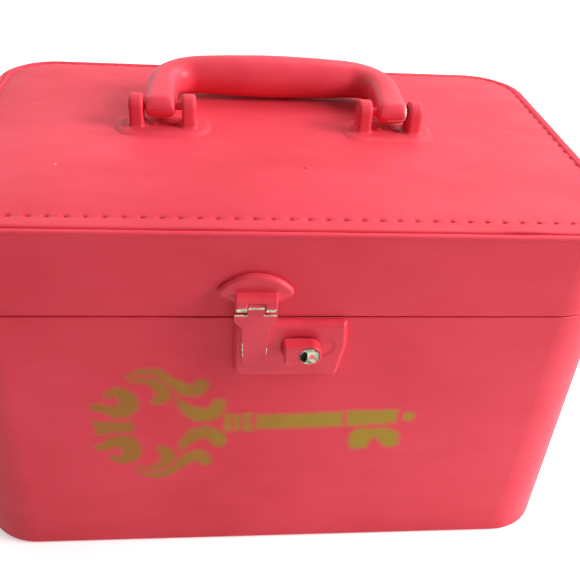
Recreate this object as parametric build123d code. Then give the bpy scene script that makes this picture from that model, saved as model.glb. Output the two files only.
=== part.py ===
from build123d import *
import os
from math import atan2, cos, degrees, radians, sin

# Train case for make-up: a plywood box wrapped in leatherette, with a hinged lid, a folding
# carrying handle, a hasp with a sliding lock, and a lift-out tray.
# Millimetres. X runs to the right, Y to the back, Z up. The origin is the middle of the base.

# ---- the box ----
case_width = 300.0
case_depth = 197.0
corner_radius = 29.0
least_corner = 8.0
case_height = 146.0
split_gap = 0.5
lid_height = 39.5
skin_thickness = 1.0
case_wall_thickness = 3.0
lid_wall_thickness = 2.2
base_board_thickness = 4.0
lid_board_thickness = 3.0
edge_roll = 0.8
foot_roll = 1.5
hem_lift = 0.3
hem_width = 8.0
glue_film = 0.15
seat_film = 0.05
rub_gap = 0.3

# ---- lining ----
lining_thickness = 2.0
collar_rise = 8.0
collar_headroom = 1.5
floor_pad_height = 5.0
floor_pad_round = 2.0
ceiling_thickness = 1.5
ceiling_drop = 2.2
mirror_width = 200.0
mirror_depth = 110.0
mirror_corner = 12.0
mirror_thickness = 2.5
mirror_lip = 3.0
mirror_frame_wall = 5.0
mirror_frame_lip_thickness = 0.9

# ---- top of the lid ----
welt_radius = 1.4
panel_thickness = 1.2
panel_margin = 13.0
shoulder_width = 7.0
shoulder_rise = 1.1
crown_width = 25.0
crown_rise = 1.0

# ---- carrying handle ----
handle_x = -0.8
handle_y = 1.7
bracket_spacing = 112.0
bracket_length = 43.0
bracket_depth = 23.0
bracket_base_thickness = 1.0
bracket_corner = 8.0
bracket_edge = 0.6
ear_spacing = 25.2
ear_thickness = 6.8
ear_round = 5.8
ear_foot_depth = 12.0
pin_height = 10.2
handle_pin_radius = 2.0
pin_head_radius = 3.2
pin_head_thickness = 1.0
bearing_clearance = 0.06
eye_length = 13.2
eye_outset = 1.2
eye_radius = 3.6
handle_reach = 42.4
grip_radius = 11.0
grip_end_radius = 9.7
shoulder_bend = 18.0
leg_root_half_width = 7.9
leg_root_half_height = 7.0
leg_half_width = 6.7
leg_half_height = 5.2
leg_nose = 5.4
leg_nose_round = 3.4
core_radius = 2.2
core_sink = 0.6
handle_rivet_spacing = 9.0
back_plate_thickness = 1.2
back_plate_length = 34.0
back_plate_depth = 14.0
back_plate_corner = 4.0

# ---- rivets ----
rivet_radius = 1.2
rivet_head_radius = 2.2
rivet_head_height = 0.7
rivet_hole_clearance = 0.1

# ---- hasp ----
# heights of the hasp and the lock are given from the rim of the case, up or down
hasp_x = -14.6
hasp_axis_rise = 11.4
hasp_axis_stand = 5.5
hasp_plate_top_rise = 23.1
hasp_plate_shoulder_rise = 13.6
hasp_plate_width = 34.3
hasp_plate_thickness = 3.0
hasp_plate_bevel = 1.2
hasp_plate_end_round = 2.8
roll_width = 17.2
roll_radius = 3.9
roll_wall = 0.7
roll_notch_angle = 32.0
hasp_knuckle_width = 7.0
hasp_pin_radius = 1.2
hasp_thickness = 1.6
hasp_head_top_rise = 5.9
hasp_head_bottom_rise = 2.0
hasp_head_width = 18.0
tongue_top_drop = 1.0
tongue_width = 12.0
tongue_tip_width = 10.0
tongue_tip_drop = 21.1
tongue_tip_round = 2.5
staple_width = 2.5
staple_height = 5.0
staple_tip_gap = 0.35
staple_hole_radius = 1.1
hasp_rivet_spacing = 18.0
hasp_rivet_rise = 16.0

# ---- lock ----
lock_left = -23.4
lock_right = 25.2
lock_top_drop = 0.3
lock_height = 29.2
lock_proud = 4.2
lock_bevel = 1.6
lock_wall = 1.0
lock_side_wall = 2.6
lock_corner_round = 1.8
lock_bulge = 0.9
lock_bulge_drop = 12.0
lock_cutaway = 2.2
lock_cut_corner = 3.0
lock_rivet_margin = 4.2
staple_room = 6.8
recess_depth = 0.4
lock_line_drop = 12.3
slider_left = -2.0
slider_right = 14.0
slider_height = 9.6
slider_proud = 6.6
slider_edge = 0.8
slider_travel = 5.0
shank_width = 5.0
shank_height = 4.0
shank_left = 1.0
bolt_height = 1.5
bolt_thickness = 1.3
bolt_set_back = 0.6
lock_barrel_radius = 4.1
lock_barrel_offset = 0.7
plug_radius = 3.4
plug_clearance = 0.07
lock_face_lip = 0.2
lock_barrel_depth = 5.0
keyhole_width = 1.6
keyhole_height = 3.8
keyhole_offset = 1.6
keyhole_depth = 4.0
spring_radius = 1.1
spring_wire_radius = 0.2
spring_wire_sides = 6
spring_turns = 4

# ---- back hinges ----
hinge_spacing = 170.0
hinge_width = 40.0
hinge_leaf_height = 18.0
hinge_leaf_thickness = 1.2
hinge_knuckle_radius = 2.5
hinge_leaf_corner = 3.0
hinge_rivet_spacing = 26.0
hinge_rivet_height = 12.0
hinge_pin_radius = 1.2
knuckle_count = 3
knuckle_gap = 0.3
hinge_open_angle = 100.0
stop_length = 2.6
stop_thickness = 1.2

# ---- tray ----
tray_clearance = 1.6
tray_corner = 25.0
tray_height = 37.0
tray_wall = 2.0
tray_seat_drop = 38.0
tray_edge_round = 0.8
rail_width = 6.0
rail_height = 6.0
rail_length = 120.0
divider_thickness = 1.6
divider_height = 28.0
long_divider_y = 18.0
cross_divider_x = 48.0
tab_width = 22.0
tab_thickness = 0.8
tab_rise = 4.0
tab_drop = 14.0

# ---- sizes that follow ----
front = -case_depth / 2
back = case_depth / 2
lid_bottom = case_height + split_gap
lid_top = lid_bottom + lid_height
wall_inset = skin_thickness + glue_film
case_inner = wall_inset + case_wall_thickness
lid_inner = wall_inset + lid_wall_thickness
wall_foot = hem_lift + skin_thickness + glue_film
case_wall_top = case_height - skin_thickness - glue_film
lining_inset = case_inner + glue_film
lining_inner = lining_inset + lining_thickness
board_top = wall_foot + base_board_thickness
lining_foot = board_top + glue_film
collar_top = case_height + collar_rise
lid_wall_foot = lid_bottom + skin_thickness + glue_film
lid_board_foot = lid_top - lid_board_thickness
lid_lining_inset = lid_inner + glue_film
lid_lining_inner = lid_lining_inset + lining_thickness
lid_lining_foot = collar_top + collar_headroom
ceiling_top = lid_board_foot - ceiling_drop
ceiling_foot = ceiling_top - ceiling_thickness
panel_inset = 2 * welt_radius + 0.2
panel_edge = lid_top + seat_film + panel_thickness
plateau = panel_edge + shoulder_rise + crown_rise
pin_z = plateau + pin_height
bracket_foot = plateau + seat_film
bracket_top = bracket_foot + bracket_base_thickness
hasp_axis_height = case_height + hasp_axis_rise
hasp_plate_top = case_height + hasp_plate_top_rise
hasp_plate_shoulder = case_height + hasp_plate_shoulder_rise
hasp_head_top = case_height + hasp_head_top_rise
hasp_head_bottom = case_height + hasp_head_bottom_rise
hasp_rivet_height = case_height + hasp_rivet_rise
tongue_top = case_height - tongue_top_drop
tongue_tip = case_height - tongue_tip_drop
lock_top = case_height - lock_top_drop
lock_bottom = lock_top - lock_height
lock_line = case_height - lock_line_drop
lock_bulge_height = case_height - lock_bulge_drop
tray_seat = case_height - tray_seat_drop
hasp_axis_y = front - hasp_axis_stand
lock_face = front - lock_proud
hasp_back = lock_face - rub_gap
slider_foot = lock_face - rub_gap
slider_face = slider_foot - slider_proud
slider_round_x = slider_right - slider_height / 2
lock_barrel_x = slider_round_x - lock_barrel_offset
shank_right = shank_left + shank_width
bolt_tip = hasp_x + staple_width / 2 + rub_gap
staple_tip = front - staple_tip_gap
bolt_y = (hasp_back + staple_tip) / 2 + bolt_set_back
hinge_axis_y = back + hinge_knuckle_radius + rub_gap
hinge_axis_z = case_height + split_gap / 2


# ---- shared shapes ----
def outline(inset):
    """The rounded plan of the box, drawn in by inset."""
    corner = max(corner_radius - inset, least_corner)
    return RectangleRounded(case_width - 2 * inset, case_depth - 2 * inset, corner)


def slab(inset, bottom, top):
    return Pos(0, 0, bottom) * extrude(outline(inset), top - bottom)


def ring(outer, inner, bottom, top):
    return Pos(0, 0, bottom) * extrude(outline(outer) - outline(inner), top - bottom)


def soften(solid, side, radius):
    """Round the lowest (side 0) or highest (side -1) edges of a solid."""
    return fillet(solid.edges().group_by(Axis.Z)[side], radius)


def bevel(solid, side, width):
    """Cut the lowest (side 0) or highest (side -1) edges of a solid at a slant."""
    return chamfer(solid.edges().group_by(Axis.Z)[side], width)


def rod_x(radius, length, x, y, z):
    """A round bar lying along X, centred on x, y, z."""
    return Pos(x, y, z) * Rot(0, 90, 0) * Cylinder(radius, length)


def rod_y(radius, y_from, y_to, x, z):
    """A round bar lying along Y between two depths."""
    return Pos(x, (y_from + y_to) / 2, z) * Rot(90, 0, 0) * Cylinder(radius, abs(y_to - y_from))


def elbow(radius, bend, turn):
    """A quarter turn of round bar about the origin, from turn degrees to turn + 90."""
    section = Plane.XZ * Pos(bend, 0) * Circle(radius)
    return Rot(0, 0, turn) * revolve(section, Axis.Z, 90)


def block(x_from, x_to, y_from, y_to, z_from, z_to):
    size = (abs(x_to - x_from), abs(y_to - y_from), abs(z_to - z_from))
    return Pos((x_from + x_to) / 2, (y_from + y_to) / 2, (z_from + z_to) / 2) * Box(*size)


def front_plane(depth_y):
    """Drawing plane on the front of the case: its x is X, its y is Z, it faces the viewer."""
    return Plane(origin=(0, depth_y, 0), x_dir=(1, 0, 0), z_dir=(0, -1, 0))


def pair(make, half_spacing, middle=0):
    """The same piece on the left and on the right of a middle."""
    return [make(middle - half_spacing), make(middle + half_spacing)]


def pillow(levels, bottom):
    """A crowned block: plan outlines of growing inset at rising heights, joined by slopes."""
    (inset, top) = levels[0]
    solid = slab(inset, bottom, top)
    for (low_inset, low), (high_inset, high) in zip(levels, levels[1:]):
        step = loft([Pos(0, 0, low) * outline(low_inset), Pos(0, 0, high) * outline(high_inset)], ruled=True)
        solid += step
    return solid


# ---- rivets and their holes ----
def hinge_rivet_spots(direction):
    """Centres of the rivets in the leaves that point up (1) or down (-1) from the hinge axis."""
    z = hinge_axis_z + direction * hinge_rivet_height
    offsets = [-hinge_rivet_spacing / 2, hinge_rivet_spacing / 2]
    return [(side * hinge_spacing / 2 + offset, z) for side in (-1, 1) for offset in offsets]


def hasp_rivet_spots():
    half = hasp_rivet_spacing / 2
    return [(hasp_x - half, hasp_rivet_height), (hasp_x + half, hasp_rivet_height)]


def lock_rivet_spots():
    left = lock_left + lock_rivet_margin
    right = lock_right - lock_cutaway - lock_rivet_margin
    heights = (lock_bottom + lock_rivet_margin, lock_top - lock_rivet_margin)
    return [(x, z) for x in (left, right) for z in heights]


def handle_rivet_spots():
    half = handle_rivet_spacing / 2
    centres = [handle_x - bracket_spacing / 2, handle_x + bracket_spacing / 2]
    return [(centre + offset, handle_y) for centre in centres for offset in (-half, half)]


def drill_y(solid, spots, y_from, y_to):
    for (x, z) in spots:
        solid -= rod_y(rivet_radius + rivet_hole_clearance, y_from, y_to, x, z)
    return solid


def drill_z(solid, spots, bottom, top):
    for (x, y) in spots:
        solid -= Pos(x, y, (bottom + top) / 2) * Cylinder(rivet_radius + rivet_hole_clearance, top - bottom)
    return solid


# ---- case ----
def make_base_panel():
    return slab(hem_width + glue_film, 0, wall_foot - glue_film)


def make_base_board():
    return slab(lining_inset, wall_foot, board_top)


def make_case_wall():
    wall = ring(wall_inset, case_inner, wall_foot, case_wall_top)
    wall = drill_y(wall, lock_rivet_spots(), front, front + case_inner + 1)
    return drill_y(wall, hinge_rivet_spots(-1), back, back - case_inner - 1)


def make_case_skin():
    """Leatherette wrap: hemmed under the base and turned in over the rim."""
    wrap = soften(soften(slab(0, hem_lift, case_height), 0, foot_roll), -1, edge_roll)
    wrap -= slab(skin_thickness, hem_lift + skin_thickness, case_height - skin_thickness)
    wrap -= slab(hem_width, 0, hem_lift + skin_thickness + 1)
    wrap -= slab(case_inner, case_height - skin_thickness - 1, case_height + 1)
    wrap = drill_y(wrap, lock_rivet_spots(), front - 1, front + skin_thickness + 1)
    return drill_y(wrap, hinge_rivet_spots(-1), back + 1, back - skin_thickness - 1)


def make_case_lining():
    """Covered card liner. It stands above the rim as the collar that the lid closes over."""
    liner = ring(lining_inset, lining_inner, lining_foot, collar_top)
    return bevel(liner, -1, edge_roll)


def make_floor_pad():
    pad = slab(lining_inner + rub_gap, lining_foot, lining_foot + floor_pad_height)
    return bevel(pad, -1, floor_pad_round)


def make_tray_rails():
    outer = case_width / 2 - lining_inner - glue_film
    half = rail_length / 2

    def rail(side):
        inner = side * (outer - rail_width)
        return block(inner, side * outer, -half, half, tray_seat - rail_height, tray_seat)

    return pair(rail, 1)


# ---- lid ----
def make_lid_wall():
    wall = ring(wall_inset, lid_inner, lid_wall_foot, lid_board_foot - glue_film)
    wall = drill_y(wall, hasp_rivet_spots(), front, front + lid_inner + 1)
    return drill_y(wall, hinge_rivet_spots(1), back, back - lid_inner - 1)


def make_lid_board():
    board = slab(wall_inset, lid_board_foot, lid_top)
    return drill_z(board, handle_rivet_spots(), lid_board_foot - 1, lid_top + 1)


def make_lid_skin():
    """Leatherette band round the lid, turned in under its lower edge."""
    band = soften(slab(0, lid_bottom, lid_top), 0, edge_roll)
    band -= slab(skin_thickness, lid_bottom + skin_thickness, lid_top + 1)
    band -= slab(lid_inner, lid_bottom - 1, lid_bottom + skin_thickness + 1)
    band = drill_y(band, hasp_rivet_spots(), front - 1, front + skin_thickness + 1)
    return drill_y(band, hinge_rivet_spots(1), back + 1, back - skin_thickness - 1)


def panel_levels():
    shoulder = panel_margin + shoulder_width
    return [(panel_inset, panel_edge), (panel_margin, panel_edge), (shoulder, panel_edge + shoulder_rise),
            (shoulder + crown_width, plateau)]


def pad_levels(drop, draw_in):
    foot = lid_top + seat_film
    shoulder = panel_margin + shoulder_width
    return [(panel_margin + draw_in, foot + 0.1), (shoulder + draw_in, foot + shoulder_rise - drop),
            (shoulder + crown_width, foot + shoulder_rise + crown_rise - drop)]


def make_top_pad():
    """Thin foam under the crown of the top panel."""
    pad = pillow(pad_levels(glue_film, 2.0), lid_top + seat_film)
    return drill_z(pad, handle_rivet_spots(), lid_top - 1, plateau + 1)


def make_top_panel():
    """Leatherette top: a flat sewn margin, then a low crown over the foam."""
    levels = panel_levels()
    panel = pillow([levels[0], *levels[2:]], lid_top + seat_film)
    shoulder_cut = ring(0, panel_margin, panel_edge, plateau + 1)
    panel -= shoulder_cut
    panel -= pillow(pad_levels(0, 1.0), lid_top - 1)
    return drill_z(panel, handle_rivet_spots(), lid_top - 1, plateau + 1)


def make_welt():
    """Covered piping cord round the top edge."""
    bend = corner_radius - welt_radius - seat_film
    straight_x = case_width / 2 - corner_radius
    straight_y = case_depth / 2 - corner_radius
    cord = []
    for (i, j, turn) in ((1, 1, 0), (-1, 1, 90), (-1, -1, 180), (1, -1, 270)):
        cord.append(Pos(i * straight_x, j * straight_y, 0) * elbow(welt_radius, bend, turn))
    for side in (-1, 1):
        cord.append(rod_x(welt_radius, 2 * straight_x, 0, side * (straight_y + bend), 0))
        cord.append(rod_y(welt_radius, -straight_y, straight_y, side * (straight_x + bend), 0))
    return Pos(0, 0, lid_top + welt_radius + seat_film) * (cord[0] + cord[1:])


def make_lid_lining():
    return ring(lid_lining_inset, lid_lining_inner, lid_lining_foot, lid_board_foot - glue_film)


def make_ceiling_lining():
    return slab(lid_lining_inner + glue_film, ceiling_foot, ceiling_top)


def mirror_plate(grow, bottom, top):
    plan = RectangleRounded(mirror_width + 2 * grow, mirror_depth + 2 * grow, mirror_corner + grow)
    return Pos(0, 0, bottom) * extrude(plan, top - bottom)


def make_mirror():
    return mirror_plate(0, ceiling_foot - glue_film - mirror_thickness, ceiling_foot - glue_film)


def make_mirror_frame():
    lip_top = ceiling_foot - 2 * glue_film - mirror_thickness
    foot = lip_top - mirror_frame_lip_thickness
    frame = mirror_plate(mirror_frame_wall, foot, ceiling_foot - seat_film)
    frame -= mirror_plate(glue_film, lip_top, ceiling_foot + 1)
    frame -= mirror_plate(-mirror_lip, foot - 1, lip_top + 1)
    return bevel(frame, 0, edge_roll / 2)


# ---- handle and its brackets ----
def ear_profile():
    """Side view of a bracket ear: a foot that narrows to a round top about the pin."""
    top = Pos(0, pin_z) * Circle(ear_round)
    half_foot = ear_foot_depth / 2
    post = Polygon((-half_foot, bracket_foot), (half_foot, bracket_foot), (ear_round, pin_z),
                   (-ear_round, pin_z), align=None)
    return top + post


def make_bracket(x):
    """Cast bracket: a base plate with two thick ears that hold the handle's pin."""
    base = Pos(x, handle_y, bracket_foot) * extrude(
        RectangleRounded(bracket_length, bracket_depth, bracket_corner), bracket_base_thickness)
    base = bevel(base, -1, bracket_edge)
    for side in (-1, 1):
        ear_x = x + side * ear_spacing / 2 - ear_thickness / 2
        side_plane = Plane(origin=(ear_x, handle_y, 0), x_dir=(0, 1, 0), z_dir=(1, 0, 0))
        ear = extrude(side_plane * ear_profile(), ear_thickness)
        side_edges = ear.faces().filter_by(Axis.X).edges()
        ear = chamfer(side_edges.filter_by(lambda e: e.center().Z > bracket_top + 1), edge_roll)
        base += ear
    base -= rod_x(handle_pin_radius + seat_film, ear_spacing + 2 * ear_thickness, x, handle_y, pin_z)
    return drill_z(base, handle_rivet_spots(), bracket_foot - 1, bracket_top + 1)


def make_handle_pin(x):
    length = ear_spacing + ear_thickness
    pin = rod_x(handle_pin_radius, length, x, handle_y, pin_z)
    for side in (-1, 1):
        head_x = x + side * (length / 2 + seat_film + pin_head_thickness / 2)
        pin += rod_x(pin_head_radius, pin_head_thickness, head_x, handle_y, pin_z)
        pin += rod_x(handle_pin_radius, 2 * seat_film, x + side * length / 2, handle_y, pin_z)
    return pin


def make_back_plate(x):
    """Steel plate under the lid board that the bracket's rivets are closed on."""
    top = lid_board_foot - seat_film
    plate = Pos(x, handle_y, top - back_plate_thickness) * extrude(
        RectangleRounded(back_plate_length, back_plate_depth, back_plate_corner), back_plate_thickness)
    return drill_z(plate, handle_rivet_spots(), lid_board_foot - 2 * back_plate_thickness, lid_board_foot + 1)


def make_handle_rivets():
    plate_foot = lid_board_foot - seat_film - back_plate_thickness
    tail = plate_foot - seat_film - rivet_head_height
    head = bracket_top + seat_film
    rivets = []
    for (x, y) in handle_rivet_spots():
        shank = Pos(x, y, (tail + head) / 2) * Cylinder(rivet_radius, head - tail)
        top_head = Pos(x, y, head + rivet_head_height / 2) * Cylinder(rivet_head_radius, rivet_head_height)
        tail_head = Pos(x, y, tail + rivet_head_height / 2) * Cylinder(rivet_head_radius, rivet_head_height)
        rivets.append(shank + top_head + tail_head)
    return rivets


eye_x = bracket_spacing / 2 + eye_outset
grip_rest_rise = grip_radius + rub_gap - pin_height
handle_lay = degrees(atan2(grip_rest_rise, handle_reach))


def hand_bar():
    """Barrel-shaped middle of the grip: fullest in the hand."""
    half = eye_x - shoulder_bend
    end = handle_reach + grip_end_radius
    crown = ThreePointArc((-half, end), (0, handle_reach + grip_radius), (half, end))
    sides = Polyline((half, end), (half, handle_reach), (-half, handle_reach), (-half, end))
    return revolve(make_face(crown + sides), Axis((0, handle_reach, 0), (1, 0, 0)))


def shoulder_and_leg():
    """Left end of the grip: a round shoulder that thins into an oval leg with a rounded nose."""
    (bend_x, bend_y) = (-eye_x + shoulder_bend, handle_reach - shoulder_bend)
    slant = shoulder_bend * sin(radians(45))
    path = ThreePointArc((bend_x, handle_reach), (bend_x - slant, bend_y + slant), (-eye_x, bend_y))
    grip_end = Plane(origin=(bend_x, handle_reach, 0), x_dir=(0, 1, 0), z_dir=(-1, 0, 0))
    root = Plane(origin=(-eye_x, bend_y, 0), x_dir=(-1, 0, 0), z_dir=(0, -1, 0))
    nose = Plane(origin=(-eye_x, -leg_nose, 0), x_dir=(-1, 0, 0), z_dir=(0, -1, 0))
    root_oval = root * Ellipse(leg_root_half_width, leg_root_half_height)
    shoulder = sweep([grip_end * Circle(grip_end_radius), root_oval], path=path, multisection=True)
    leg = loft([root_oval, nose * Ellipse(leg_half_width, leg_half_height)])
    leg = fillet(leg.faces().sort_by(Axis.Y)[0].edges(), leg_nose_round)
    return shoulder + leg


def lay_handle(shape):
    """Bring the handle from its own plane to where it lies back on the lid."""
    return Pos(handle_x, handle_y, pin_z) * Rot(handle_lay, 0, 0) * shape


def core_bar(radius):
    """Steel bar through the handle, bent at both shoulders."""
    start = eye_radius - core_sink
    (bend_x, bend_y) = (eye_x - shoulder_bend, handle_reach - shoulder_bend)
    bar = rod_x(radius, 2 * bend_x, 0, handle_reach, 0)
    for (side, turn) in ((-1, 90), (1, 0)):
        bar += rod_y(radius, start, bend_y, side * eye_x, 0)
        bar += Pos(side * bend_x, bend_y, 0) * elbow(radius, shoulder_bend, turn)
    return bar


def eye_barrels(radius, length):
    return rod_x(radius, length, -eye_x, 0, 0) + rod_x(radius, length, eye_x, 0, 0)


def make_handle_grip():
    """Moulded grip: thick and round in the hand, with big soft shoulders and slim ends."""
    end = shoulder_and_leg()
    grip = hand_bar() + end + mirror(end, Plane.YZ)
    grip -= core_bar(core_radius + glue_film)
    grip -= eye_barrels(eye_radius + glue_film, eye_length + 2)
    grip -= eye_barrels(handle_pin_radius + rub_gap, ear_spacing)
    return lay_handle(grip)


def make_handle_core():
    """Steel bar with a barrel at each end that turns on the bracket pin."""
    core = core_bar(core_radius) + eye_barrels(eye_radius, eye_length)
    core -= eye_barrels(handle_pin_radius + bearing_clearance, eye_length + 2)
    return lay_handle(core)


# ---- hasp ----
def make_hasp_plate():
    """Arched plate whose lower edge is rolled into a barrel, notched for the hasp's knuckle."""
    half = hasp_plate_width / 2
    neck = roll_width / 2
    low = hasp_axis_height - roll_radius * 0.6
    arch = ThreePointArc((hasp_x - half, hasp_plate_shoulder), (hasp_x, hasp_plate_top),
                         (hasp_x + half, hasp_plate_shoulder))
    lower = Polyline((hasp_x + half, hasp_plate_shoulder), (hasp_x + neck, low), (hasp_x - neck, low),
                     (hasp_x - half, hasp_plate_shoulder))
    plan = make_face(arch + lower)
    ends = plan.vertices().group_by(Axis.X)
    plan = fillet([*ends[0], *ends[-1]], hasp_plate_end_round)
    plate = extrude(front_plane(front - seat_film) * plan, hasp_plate_thickness)
    face_edges = plate.faces().sort_by(Axis.Y)[0].edges()
    plate = chamfer(face_edges.filter_by(lambda e: e.center().Z > low + 1), hasp_plate_bevel)
    plate += rod_x(roll_radius, roll_width, hasp_x, hasp_axis_y, hasp_axis_height)
    notch = hasp_knuckle_width + 2 * rub_gap
    plate -= rod_x(roll_radius - roll_wall, notch, hasp_x, hasp_axis_y, hasp_axis_height)
    swing_room = Pos(0, 0, -roll_radius * 2) * Box(notch, roll_radius * 4, roll_radius * 4)
    plate -= Pos(hasp_x, hasp_axis_y, hasp_axis_height) * Rot(-roll_notch_angle, 0, 0) * swing_room
    plate -= rod_x(hasp_pin_radius + seat_film, roll_width + 1, hasp_x, hasp_axis_y, hasp_axis_height)
    return drill_y(plate, hasp_rivet_spots(), front, front - hasp_plate_thickness / 2)


def make_hasp_pin():
    return rod_x(hasp_pin_radius, roll_width, hasp_x, hasp_axis_y, hasp_axis_height)


def hasp_outline():
    """Front view of the hasp: narrow neck, wide head, then a tongue that tapers to a round tip."""
    neck = hasp_knuckle_width / 2
    head = hasp_head_width / 2
    side = [(neck, hasp_axis_height), (neck, hasp_head_top), (head, hasp_head_top), (head, hasp_head_bottom),
            (tongue_width / 2, tongue_top), (tongue_tip_width / 2, tongue_tip)]
    right = [(hasp_x + x, z) for (x, z) in side]
    left = [(hasp_x - x, z) for (x, z) in reversed(side)]
    plan = make_face(Polyline(*right, *left, close=True))
    tip = plan.vertices().group_by(Axis.Y)[0]
    return fillet(tip, tongue_tip_round)


def make_hasp():
    knuckle_radius = roll_radius - roll_wall - rub_gap
    bore_radius = hasp_pin_radius + bearing_clearance
    leaf = extrude(front_plane(hasp_back) * hasp_outline(), hasp_thickness)
    leaf += rod_x(knuckle_radius, hasp_knuckle_width, hasp_x, hasp_axis_y, hasp_axis_height)
    return leaf - rod_x(bore_radius, hasp_knuckle_width + 1, hasp_x, hasp_axis_y, hasp_axis_height)


def make_hasp_staple():
    """Eye on the back of the tongue that the bolt slides through."""
    half = staple_height / 2
    half_width = staple_width / 2
    foot = hasp_back + seat_film
    staple = block(hasp_x - half_width, hasp_x + half_width, foot, staple_tip,
                   lock_line - half, lock_line + half)
    staple = fillet(staple.edges().filter_by(Axis.X).group_by(Axis.Y)[-1], edge_roll)
    return staple - rod_x(staple_hole_radius, staple_width + 1, hasp_x, bolt_y, lock_line)


# ---- lock ----
def lock_outline():
    """Front view of the lock plate: square on the left, bulged and cut away on the right."""
    plan = make_face(Polyline(
        (lock_left, lock_top), (lock_right, lock_top), (lock_right + lock_bulge, lock_bulge_height),
        (lock_right - lock_cutaway, lock_bottom), (lock_left + lock_cut_corner, lock_bottom),
        (lock_left, lock_bottom + lock_cut_corner), close=True))
    return fillet(plan.vertices(), lock_corner_round)


def slot_plan(left, right, height):
    """A slot with round ends between two X positions, centred on the bolt's line."""
    return Pos((left + right) / 2, lock_line) * SlotOverall(right - left, height)


def make_lock_plate():
    """Pressed pan with sloping sides. It holds the bolt, and is open at the top for the staple."""
    plane = front_plane(front - seat_film)
    proud = lock_proud - seat_film
    pan = extrude(plane * lock_outline(), proud)
    pan = chamfer(pan.faces().sort_by(Axis.Y)[0].edges(), proud * 0.6, lock_bevel)
    half_room = staple_room / 2
    room_right = lock_right - lock_side_wall
    pan -= block(lock_left + lock_side_wall, room_right, front, lock_face + lock_wall,
                 lock_line - half_room, lock_line + half_room)
    channel = staple_width / 2 + 2 * rub_gap
    pan -= block(hasp_x - channel, hasp_x + channel, front + 1, lock_face - 1,
                 lock_line - half_room, lock_top + 1)
    recess = slot_plan(slider_left - 1, slider_right + slider_travel + 1.2, slider_height + 1)
    pan -= extrude(front_plane(lock_face + recess_depth) * recess, recess_depth + 1)
    half_slot = shank_height / 2 + rub_gap
    pan -= block(shank_left - rub_gap, shank_right + slider_travel + rub_gap, lock_face - 1,
                 lock_face + lock_wall + 1, lock_line - half_slot, lock_line + half_slot)
    return drill_y(pan, lock_rivet_spots(), front, front - lock_proud / 2)


def make_slide_button():
    """Thumb piece of the lock: flat on the left, round about the lock barrel on the right."""
    half = slider_height / 2
    length = slider_round_x - slider_left
    body = Pos(slider_round_x - length / 2, lock_line) * Rectangle(length, slider_height)
    plan = body + Pos(slider_round_x, lock_line) * Circle(half)
    button = extrude(front_plane(slider_foot) * plan, slider_proud)
    button = fillet(button.faces().sort_by(Axis.Y)[0].edges(), slider_edge)
    seat_end = slider_face + lock_barrel_depth + seat_film
    button -= rod_y(lock_barrel_radius + seat_film, slider_face - 1, seat_end, lock_barrel_x, lock_line)
    half_shank = shank_height / 2
    shank_end = bolt_y - bolt_thickness / 2 - seat_film
    shank = block(shank_left, shank_right, slider_foot - slider_edge, shank_end, lock_line - half_shank,
                  lock_line + half_shank)
    return button + shank


def make_slider_bolt():
    half_height = bolt_height / 2
    half_depth = bolt_thickness / 2
    bolt = block(bolt_tip, shank_right, bolt_y - half_depth, bolt_y + half_depth, lock_line - half_height,
                 lock_line + half_height)
    return chamfer(bolt.edges().filter_by(Axis.Y).group_by(Axis.X)[0], edge_roll / 2)


def make_lock_barrel():
    end = slider_face + lock_barrel_depth
    barrel = rod_y(lock_barrel_radius, slider_face - lock_face_lip, end, lock_barrel_x, lock_line)
    bore_radius = plug_radius + plug_clearance
    return barrel - rod_y(bore_radius, slider_face - 1, end - lock_wall, lock_barrel_x, lock_line)


def make_key_plug():
    plug_end = slider_face + lock_barrel_depth - lock_wall - rub_gap
    plug = rod_y(plug_radius, slider_face - lock_face_lip / 2, plug_end, lock_barrel_x, lock_line)
    slot = SlotOverall(keyhole_height, keyhole_width, rotation=90)
    keyhole = Pos(lock_barrel_x - keyhole_offset, lock_line) * slot
    return plug - extrude(front_plane(slider_face + keyhole_depth) * keyhole, keyhole_depth + 1)


def make_slider_spring():
    """Small coil that pushes the slider back to the left."""
    left = shank_right + rub_gap
    length = lock_right - lock_side_wall - rub_gap - left
    path = Helix(pitch=length / spring_turns, height=length, radius=spring_radius)
    section = Plane(origin=path @ 0, z_dir=path % 0) * RegularPolygon(spring_wire_radius, spring_wire_sides)
    coil = sweep(section, path=path)
    return Pos(left, (front + lock_face + lock_wall) / 2, lock_line) * Rot(0, 90, 0) * coil


def make_front_rivets(spots, head, tail):
    return [rod_y(rivet_radius, head, tail, x, z) for (x, z) in spots]


# ---- back hinges ----
def knuckle_spans(parity):
    """X ranges of every second knuckle, from the left edge of a leaf."""
    pitch = hinge_width / knuckle_count
    starts = [-hinge_width / 2 + i * pitch for i in range(knuckle_count) if i % 2 == parity]
    return [(start + knuckle_gap / 2, start + pitch - knuckle_gap / 2) for start in starts]


def make_hinge_leaf(x, direction, parity):
    """Hinge leaf on the back face, pointing up (1) or down (-1), with its share of knuckles."""
    inner = back + seat_film
    outer = inner + hinge_leaf_thickness
    clear = direction * (hinge_knuckle_radius + rub_gap)
    half = hinge_width / 2
    tip_z = hinge_axis_z + direction * hinge_leaf_height
    leaf = block(x - half, x + half, inner, outer, hinge_axis_z + clear, tip_z)
    tip = leaf.edges().filter_by(Axis.Y).sort_by(Axis.Z, reverse=direction > 0)[0:2]
    leaf = fillet(tip, hinge_leaf_corner)
    for (left, right) in knuckle_spans(parity):
        leaf += rod_x(hinge_knuckle_radius, right - left, x + (left + right) / 2, hinge_axis_y, hinge_axis_z)
        leaf += block(x + left, x + right, inner, outer, hinge_axis_z, hinge_axis_z + 2 * clear)
    leaf -= rod_x(hinge_pin_radius + bearing_clearance, hinge_width + 1, x, hinge_axis_y, hinge_axis_z)
    return drill_y(leaf, hinge_rivet_spots(direction), back, outer + 1)


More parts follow.
